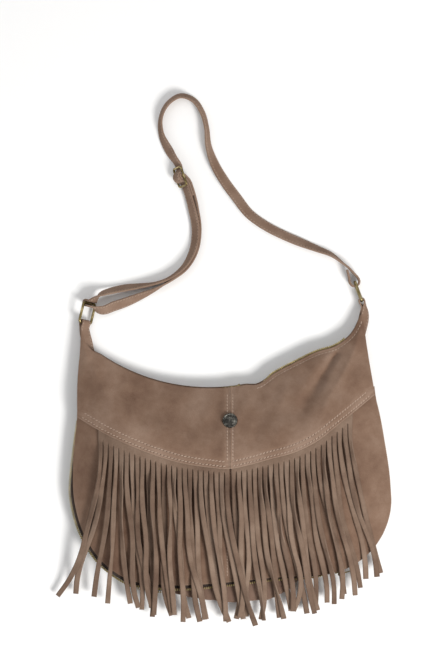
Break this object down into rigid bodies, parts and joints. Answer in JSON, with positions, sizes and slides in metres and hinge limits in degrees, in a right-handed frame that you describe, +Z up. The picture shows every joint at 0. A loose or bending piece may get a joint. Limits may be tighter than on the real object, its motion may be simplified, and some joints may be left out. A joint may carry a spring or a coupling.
{
  "type": "fringed shoulder bag",
  "caption": "Soft suede shoulder bag with a curved yoke, a long cut fringe, an expansion zip round its rim and a long adjustable strap, lying on its back.",
  "frame": {"origin": "middle of the bottom of the box round the bag and its strap, on the floor", "axes": "+Z up from the floor through the bag's thickness, +Y from the bag towards its strap, +X to the right"},
  "size_m": [0.3737, 0.6148, 0.055],
  "materials": {
    "suede": "suede, soft nap",
    "fringe_suede": "suede, cut strips",
    "gusset_suede": "suede, red brown",
    "zip_tape": "woven tape",
    "antique_brass": "aged",
    "pewter": "dark, aged"
  },
  "bodies": {
    "bag": {"front_yoke_left": "suede", "front_yoke_right": "suede", "front_lower_left": "suede", "front_lower_right": "suede", "back_panel": "suede", "left_tab": "suede", "right_tab": "suede", "strap": "suede", "fringe_left": "fringe_suede", "fringe_right": "fringe_suede", "expansion_gusset": "gusset_suede", "expansion_zip_front_tape": "zip_tape", "expansion_zip_front_teeth": "antique_brass", "expansion_zip_back_tape": "zip_tape", "expansion_zip_back_teeth": "antique_brass", "top_zip_front_tape": "zip_tape", "top_zip_front_teeth": "antique_brass", "top_zip_back_tape": "zip_tape", "top_zip_back_teeth": "antique_brass", "strap_adjuster": "antique_brass", "stud_cap": "pewter", "stud_back": "pewter"},
    "top_slider": {"top_zip_slider": "antique_brass"},
    "top_puller": {"top_zip_puller": "antique_brass"},
    "expansion_slider": {"expansion_zip_slider": "antique_brass"},
    "expansion_puller": {"expansion_zip_puller": "antique_brass"},
    "left_ring": {"left_ring": "antique_brass"},
    "right_ring": {"right_ring": "antique_brass"}
  },
  "joints": [
    {"name": "top_zip_run", "type": "hinge", "parent": "bag", "child": "top_slider", "pos_m": [-0.024, 0.188, 0.0106], "axis": [0, 0, 1], "range_deg": [-36, 0]},
    {"name": "top_puller_flip", "type": "hinge", "parent": "top_slider", "child": "top_puller", "pos_m": [0.01045, -0.02949, 0.0106], "axis": [0, 0, 1], "range_deg": [-170, 0]},
    {"name": "expansion_zip_run", "type": "hinge", "parent": "bag", "child": "expansion_slider", "pos_m": [0.098, -0.16, 0.0106], "axis": [0, 0, 1], "range_deg": [0, 60]},
    {"name": "expansion_puller_flip", "type": "hinge", "parent": "expansion_slider", "child": "expansion_puller", "pos_m": [0.12637, -0.24731, 0.0106], "axis": [0, 0, 1], "range_deg": [-170, 0]},
    {"name": "left_ring_swing", "type": "hinge", "parent": "bag", "child": "left_ring", "pos_m": [-0.16738, 0.04282, 0.0096], "axis": [0.7449, -0.1786, -0.6428], "range_deg": [-5, 3]},
    {"name": "right_ring_swing", "type": "hinge", "parent": "bag", "child": "right_ring", "pos_m": [0.15193, 0.06819, 0.0102], "axis": [0, 0, 1], "range_deg": [-5, 5]}
  ]
}
